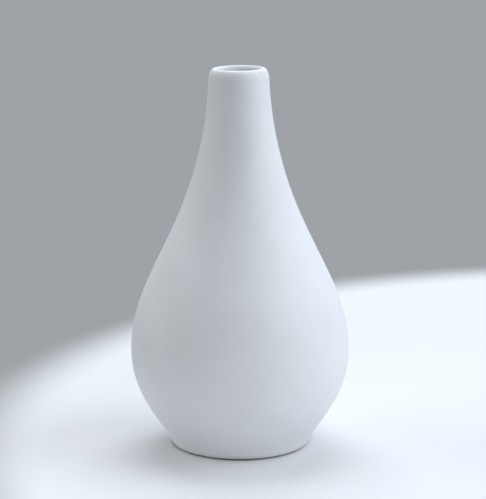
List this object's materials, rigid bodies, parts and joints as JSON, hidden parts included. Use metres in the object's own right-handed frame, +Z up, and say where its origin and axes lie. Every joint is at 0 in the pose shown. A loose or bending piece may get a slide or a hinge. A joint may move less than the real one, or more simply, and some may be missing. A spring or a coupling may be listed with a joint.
{
  "type": "bud vase",
  "caption": "Teardrop ceramic bud vase with a round low belly, a narrow neck, a rolled lip and a small flat foot ring, for a flower stem in water.",
  "frame": {"origin": "middle of the foot, on the surface that the vase stands on", "axes": "+Z up along the vase's axis of turning; the body is round, so +X and +Y are any two level directions at right angles, with the reference view looking along +Y"},
  "size_m": [0.0864, 0.0864, 0.15],
  "materials": {
    "fired_clay": "matte",
    "matte_white_glaze": "matte",
    "clear_gloss_glaze": "gloss",
    "recess_glaze": "satin"
  },
  "bodies": {
    "root": {"clay_body": "fired_clay", "outer_matte_glaze": "matte_white_glaze", "inner_gloss_glaze": "clear_gloss_glaze", "foot_recess_glaze": "recess_glaze"}
  },
  "joints": []
}
